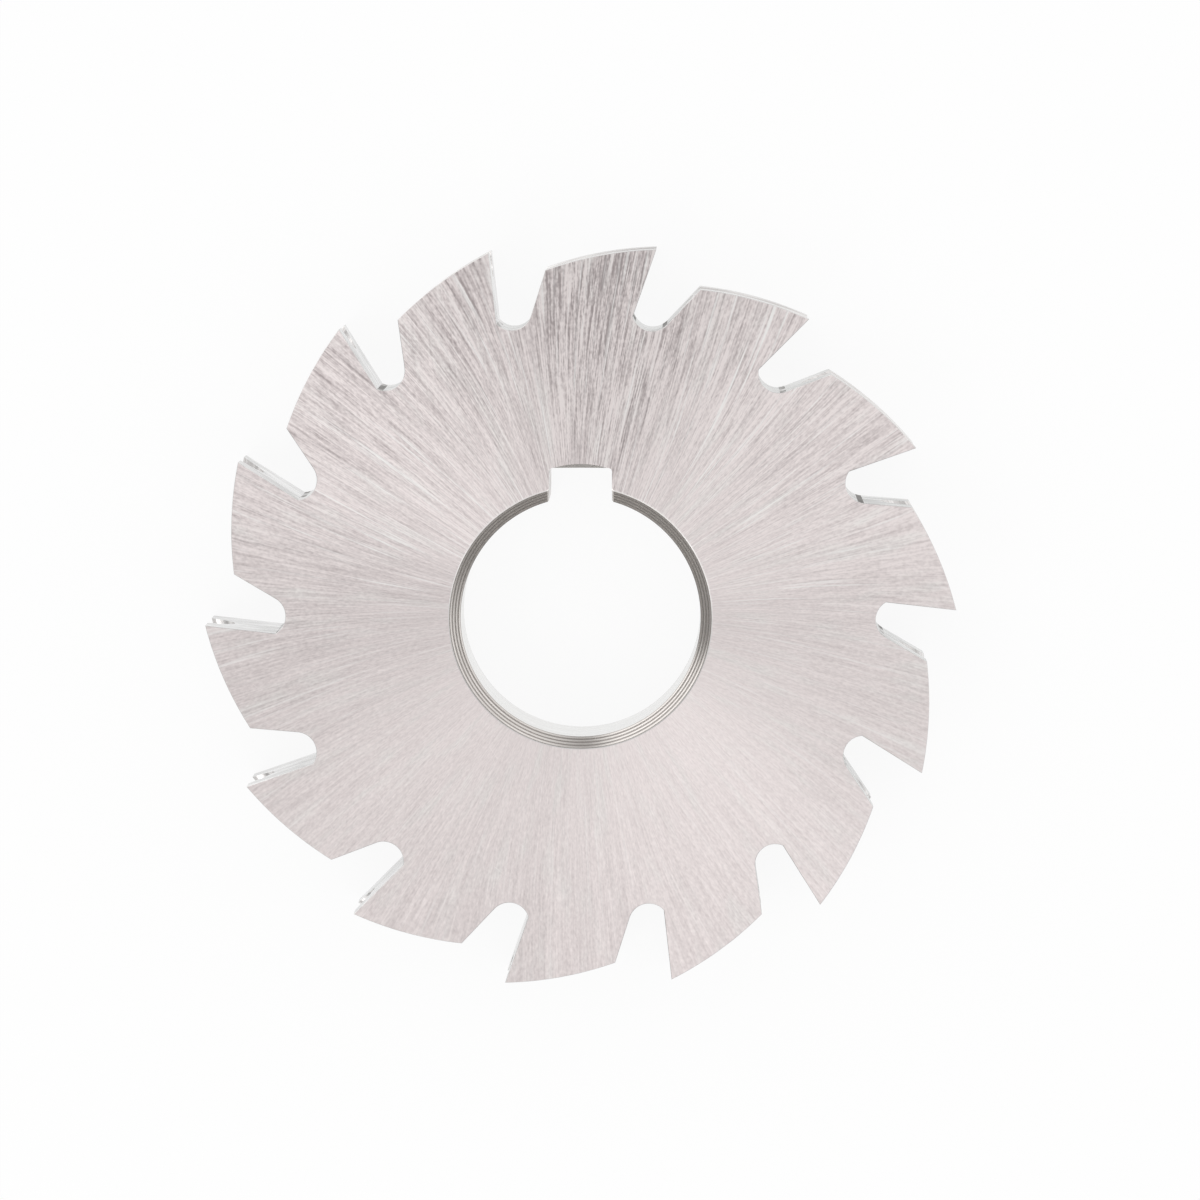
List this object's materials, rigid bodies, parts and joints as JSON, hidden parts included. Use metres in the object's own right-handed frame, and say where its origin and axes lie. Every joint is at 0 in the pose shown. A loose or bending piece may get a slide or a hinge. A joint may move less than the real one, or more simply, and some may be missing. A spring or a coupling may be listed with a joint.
{
  "type": "concave milling cutter",
  "caption": "Form-relieved disc milling cutter that mills half-round beads, with a concave groove round its teeth, a chamfered arbor bore and a keyway.",
  "frame": {"origin": "on the bore axis, in the lower side face that the cutter lies on", "axes": "+Z along the bore axis through the cutter's width, +Y towards the keyway, and seen from +Z the teeth cut clockwise"},
  "size_m": [0.05, 0.049, 0.008],
  "materials": {
    "cutter_steel": "ground high speed steel, with fine radial grinding lines on the side faces"
  },
  "bodies": {
    "root": {"concave_cutter": "cutter_steel"}
  },
  "joints": []
}
